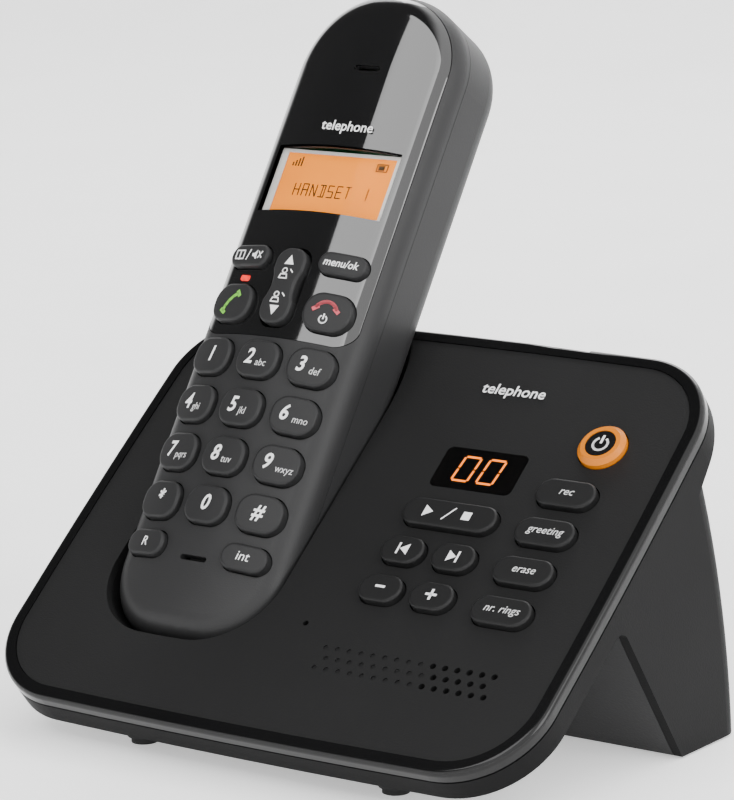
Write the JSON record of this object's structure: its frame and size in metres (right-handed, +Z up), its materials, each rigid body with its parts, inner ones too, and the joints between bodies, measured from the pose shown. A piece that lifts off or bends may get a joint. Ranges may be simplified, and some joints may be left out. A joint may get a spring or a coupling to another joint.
{
  "type": "cordless phone with base",
  "caption": "Cordless telephone standing in its wedge-shaped answering-machine base, with a backlit keypad handset, sloping key panel and arched leg.",
  "frame": {"origin": "on the table surface, under the middle of the phone's footprint box", "axes": "+X to the phone's right, +Y to the back, +Z up"},
  "size_m": [0.1472, 0.1282, 0.1586],
  "materials": {
    "base_black": "fine spark-eroded texture",
    "gloss_black": "high gloss",
    "display_window": "clear smoked, high gloss",
    "display_black": "matte",
    "base_key_black": "satin",
    "power_orange": "satin",
    "handset_grey": "fine texture",
    "handset_key_grey": "satin",
    "soft_rubber": "matte",
    "circuit_board": "solder mask",
    "jack_black": "matte",
    "speaker_steel": "plain",
    "contact_metal": "nickel-gold plated",
    "lcd_white": "matte",
    "lcd_amber": "backlit",
    "led_red": "clear red",
    "battery_sleeve": "printed film"
  },
  "bodies": {
    "base": {"base_bottom_cover": "base_black", "base_circuit_board": "circuit_board", "base_display_module": "display_black", "base_display_window": "display_window", "base_key_membrane": "soft_rubber", "base_microphone": "jack_black", "base_outer_housing": "base_black", "base_rim_trim": "gloss_black", "base_screws": "speaker_steel", "base_speaker": "speaker_steel", "base_top_panel": "base_black", "handset_cradle": "base_black", "line_jack": "jack_black", "power_jack": "jack_black", "rubber_feet": "soft_rubber"},
    "handset": {"handset_front_housing": "handset_grey", "handset_rear_housing": "handset_grey", "handset_face_lens": "gloss_black", "handset_circuit_board": "circuit_board", "handset_key_membrane": "soft_rubber", "lcd_frame": "lcd_white", "lcd_panel": "lcd_amber", "earpiece_speaker": "speaker_steel", "handset_microphone": "jack_black", "led_light_pipe": "led_red", "battery_cells": "battery_sleeve", "charge_pads": "contact_metal", "battery_contacts": "contact_metal", "ringer_speaker": "speaker_steel"},
    "battery_cover": {"battery_cover": "handset_grey"},
    "charge_contacts": {"charge_contacts": "contact_metal"},
    "base_key_erase": {"base_key_erase": "base_key_black"},
    "base_key_greeting": {"base_key_greeting": "base_key_black"},
    "base_key_minus": {"base_key_minus": "base_key_black"},
    "base_key_next": {"base_key_next": "base_key_black"},
    "base_key_play_stop": {"base_key_play_stop": "base_key_black"},
    "base_key_plus": {"base_key_plus": "base_key_black"},
    "base_key_power": {"base_key_power": "power_orange"},
    "base_key_previous": {"base_key_previous": "base_key_black"},
    "base_key_record": {"base_key_record": "base_key_black"},
    "base_key_rings": {"base_key_rings": "base_key_black"},
    "handset_key_0": {"handset_key_0": "handset_key_grey"},
    "handset_key_1": {"handset_key_1": "handset_key_grey"},
    "handset_key_2": {"handset_key_2": "handset_key_grey"},
    "handset_key_3": {"handset_key_3": "handset_key_grey"},
    "handset_key_4": {"handset_key_4": "handset_key_grey"},
    "handset_key_5": {"handset_key_5": "handset_key_grey"},
    "handset_key_6": {"handset_key_6": "handset_key_grey"},
    "handset_key_7": {"handset_key_7": "handset_key_grey"},
    "handset_key_8": {"handset_key_8": "handset_key_grey"},
    "handset_key_9": {"handset_key_9": "handset_key_grey"},
    "handset_key_end": {"handset_key_end": "handset_key_grey"},
    "handset_key_hash": {"handset_key_hash": "handset_key_grey"},
    "handset_key_intercom": {"handset_key_intercom": "handset_key_grey"},
    "handset_key_menu": {"handset_key_menu": "handset_key_grey"},
    "handset_key_nav": {"handset_key_nav": "handset_key_grey"},
    "handset_key_phonebook": {"handset_key_phonebook": "handset_key_grey"},
    "handset_key_redial": {"handset_key_redial": "handset_key_grey"},
    "handset_key_star": {"handset_key_star": "handset_key_grey"},
    "handset_key_talk": {"handset_key_talk": "handset_key_grey"}
  },
  "joints": [
    {"name": "handset_lift", "type": "slide", "parent": "base", "child": "handset", "axis": [0, -0.8324, 0.5541], "range_m": [0, 0.07]},
    {"name": "battery_cover_slide", "type": "slide", "parent": "handset", "child": "battery_cover", "axis": [0, -0.5541, -0.8324], "range_m": [0, 0.006]},
    {"name": "base_key_erase_press", "type": "slide", "parent": "base", "child": "base_key_erase", "axis": [0, 0.6293, -0.7771], "range_m": [0, 0.0008], "stiffness_N_per_m": 1200},
    {"name": "base_key_greeting_press", "type": "slide", "parent": "base", "child": "base_key_greeting", "axis": [0, 0.6293, -0.7771], "range_m": [0, 0.0008], "stiffness_N_per_m": 1200},
    {"name": "base_key_minus_press", "type": "slide", "parent": "base", "child": "base_key_minus", "axis": [0, 0.6293, -0.7771], "range_m": [0, 0.0008], "stiffness_N_per_m": 1200},
    {"name": "base_key_next_press", "type": "slide", "parent": "base", "child": "base_key_next", "axis": [0, 0.6293, -0.7771], "range_m": [0, 0.0008], "stiffness_N_per_m": 1200},
    {"name": "base_key_play_stop_press", "type": "slide", "parent": "base", "child": "base_key_play_stop", "axis": [0, 0.6293, -0.7771], "range_m": [0, 0.0008], "stiffness_N_per_m": 1200},
    {"name": "base_key_plus_press", "type": "slide", "parent": "base", "child": "base_key_plus", "axis": [0, 0.6293, -0.7771], "range_m": [0, 0.0008], "stiffness_N_per_m": 1200},
    {"name": "base_key_power_press", "type": "slide", "parent": "base", "child": "base_key_power", "axis": [0, 0.6293, -0.7771], "range_m": [0, 0.0008], "stiffness_N_per_m": 1200},
    {"name": "base_key_previous_press", "type": "slide", "parent": "base", "child": "base_key_previous", "axis": [0, 0.6293, -0.7771], "range_m": [0, 0.0008], "stiffness_N_per_m": 1200},
    {"name": "base_key_record_press", "type": "slide", "parent": "base", "child": "base_key_record", "axis": [0, 0.6293, -0.7771], "range_m": [0, 0.0008], "stiffness_N_per_m": 1200},
    {"name": "base_key_rings_press", "type": "slide", "parent": "base", "child": "base_key_rings", "axis": [0, 0.6293, -0.7771], "range_m": [0, 0.0008], "stiffness_N_per_m": 1200},
    {"name": "handset_key_0_press", "type": "slide", "parent": "handset", "child": "handset_key_0", "axis": [0, 0.8324, -0.5541], "range_m": [0, 0.0008], "stiffness_N_per_m": 1200},
    {"name": "handset_key_1_press", "type": "slide", "parent": "handset", "child": "handset_key_1", "axis": [0, 0.8324, -0.5541], "range_m": [0, 0.0008], "stiffness_N_per_m": 1200},
    {"name": "handset_key_2_press", "type": "slide", "parent": "handset", "child": "handset_key_2", "axis": [0, 0.8324, -0.5541], "range_m": [0, 0.0008], "stiffness_N_per_m": 1200},
    {"name": "handset_key_3_press", "type": "slide", "parent": "handset", "child": "handset_key_3", "axis": [0, 0.8324, -0.5541], "range_m": [0, 0.0008], "stiffness_N_per_m": 1200},
    {"name": "handset_key_4_press", "type": "slide", "parent": "handset", "child": "handset_key_4", "axis": [0, 0.8324, -0.5541], "range_m": [0, 0.0008], "stiffness_N_per_m": 1200},
    {"name": "handset_key_5_press", "type": "slide", "parent": "handset", "child": "handset_key_5", "axis": [0, 0.8324, -0.5541], "range_m": [0, 0.0008], "stiffness_N_per_m": 1200},
    {"name": "handset_key_6_press", "type": "slide", "parent": "handset", "child": "handset_key_6", "axis": [0, 0.8324, -0.5541], "range_m": [0, 0.0008], "stiffness_N_per_m": 1200},
    {"name": "handset_key_7_press", "type": "slide", "parent": "handset", "child": "handset_key_7", "axis": [0, 0.8324, -0.5541], "range_m": [0, 0.0008], "stiffness_N_per_m": 1200},
    {"name": "handset_key_8_press", "type": "slide", "parent": "handset", "child": "handset_key_8", "axis": [0, 0.8324, -0.5541], "range_m": [0, 0.0008], "stiffness_N_per_m": 1200},
    {"name": "handset_key_9_press", "type": "slide", "parent": "handset", "child": "handset_key_9", "axis": [0, 0.8324, -0.5541], "range_m": [0, 0.0008], "stiffness_N_per_m": 1200},
    {"name": "handset_key_end_press", "type": "slide", "parent": "handset", "child": "handset_key_end", "axis": [0, 0.8324, -0.5541], "range_m": [0, 0.0008], "stiffness_N_per_m": 1200},
    {"name": "handset_key_hash_press", "type": "slide", "parent": "handset", "child": "handset_key_hash", "axis": [0, 0.8324, -0.5541], "range_m": [0, 0.0008], "stiffness_N_per_m": 1200},
    {"name": "handset_key_intercom_press", "type": "slide", "parent": "handset", "child": "handset_key_intercom", "axis": [0, 0.8324, -0.5541], "range_m": [0, 0.0008], "stiffness_N_per_m": 1200},
    {"name": "handset_key_menu_press", "type": "slide", "parent": "handset", "child": "handset_key_menu", "axis": [0, 0.8324, -0.5541], "range_m": [0, 0.0008], "stiffness_N_per_m": 1200},
    {"name": "handset_key_nav_rock", "type": "hinge", "parent": "handset", "child": "handset_key_nav", "pos_m": [-0.0311, 0.00546, 0.0931], "axis": [1, 0, 0], "range_deg": [-3, 3], "stiffness_Nm_per_rad": 0.06},
    {"name": "handset_key_phonebook_press", "type": "slide", "parent": "handset", "child": "handset_key_phonebook", "axis": [0, 0.8324, -0.5541], "range_m": [0, 0.0008], "stiffness_N_per_m": 1200},
    {"name": "handset_key_redial_press", "type": "slide", "parent": "handset", "child": "handset_key_redial", "axis": [0, 0.8324, -0.5541], "range_m": [0, 0.0008], "stiffness_N_per_m": 1200},
    {"name": "handset_key_star_press", "type": "slide", "parent": "handset", "child": "handset_key_star", "axis": [0, 0.8324, -0.5541], "range_m": [0, 0.0008], "stiffness_N_per_m": 1200},
    {"name": "handset_key_talk_press", "type": "slide", "parent": "handset", "child": "handset_key_talk", "axis": [0, 0.8324, -0.5541], "range_m": [0, 0.0008], "stiffness_N_per_m": 1200},
    {"name": "charge_contacts_press", "type": "slide", "parent": "base", "child": "charge_contacts", "axis": [0, -0.5541, -0.8324], "range_m": [0, 0.0004], "stiffness_N_per_m": 1000}
  ]
}
